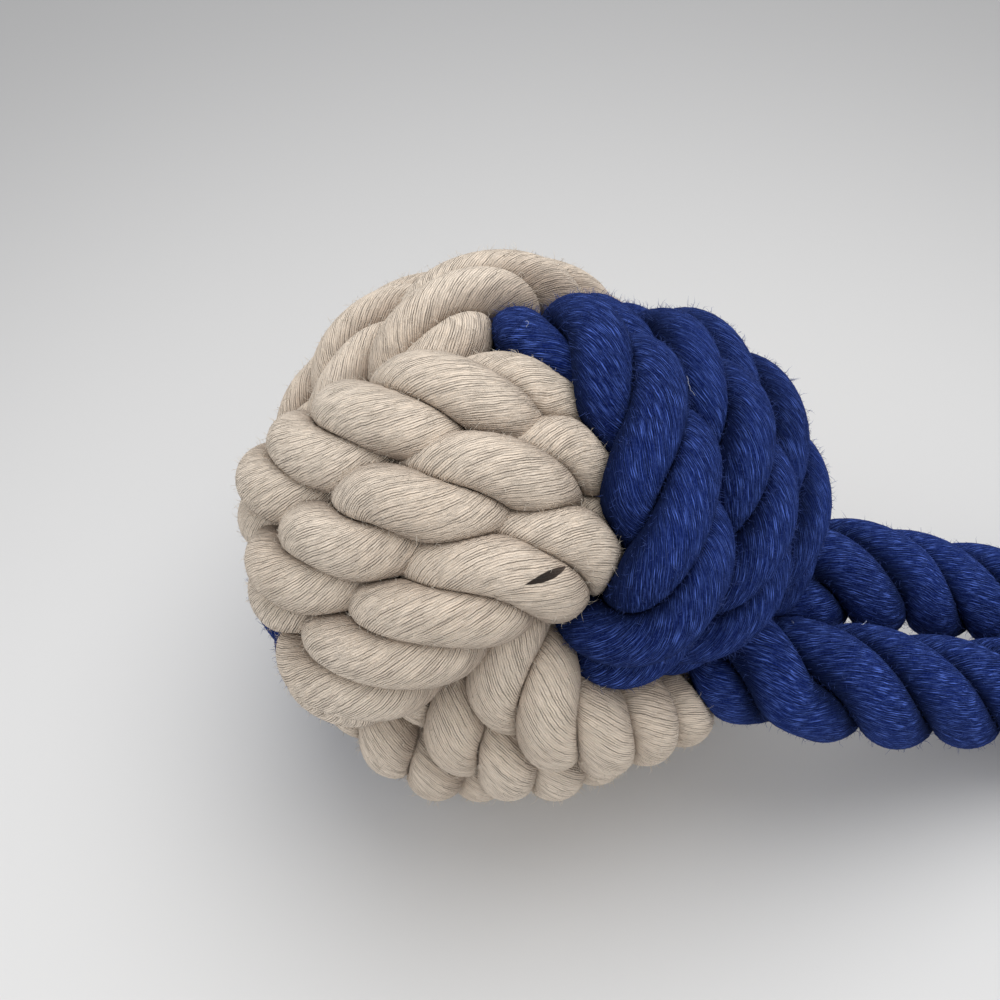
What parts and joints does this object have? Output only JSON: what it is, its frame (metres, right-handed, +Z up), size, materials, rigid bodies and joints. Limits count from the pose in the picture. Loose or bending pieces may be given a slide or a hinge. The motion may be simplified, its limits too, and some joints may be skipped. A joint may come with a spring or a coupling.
{
  "type": "rope dog toy",
  "caption": "Rope dog toy: a monkey's fist ball wound from thick cotton rope, with two free tails bound by a knot and ending in frayed tassels.",
  "frame": {"origin": "on the table, under the middle of the ball's own box, the free tails and what is on them left out", "axes": "+X from the ball along the two free tails, +Z up from the table, the toy lying as it does at rest"},
  "size_m": [0.3523, 0.1016, 0.1],
  "materials": {
    "cream_rope": "soft twisted cotton, undyed",
    "blue_rope": "soft twisted cotton, dyed royal blue",
    "blue_fray": "loose frayed cotton yarn, dyed royal blue",
    "core": "tightly packed cotton"
  },
  "bodies": {
    "root": {"core_ball": "core", "front_band": "cream_rope", "top_band": "cream_rope", "blue_band": "blue_rope", "tail_upper": "blue_rope", "tail_lower": "blue_rope", "end_knot": "blue_rope", "tassel_upper": "blue_fray", "tassel_lower": "blue_fray"}
  },
  "joints": []
}
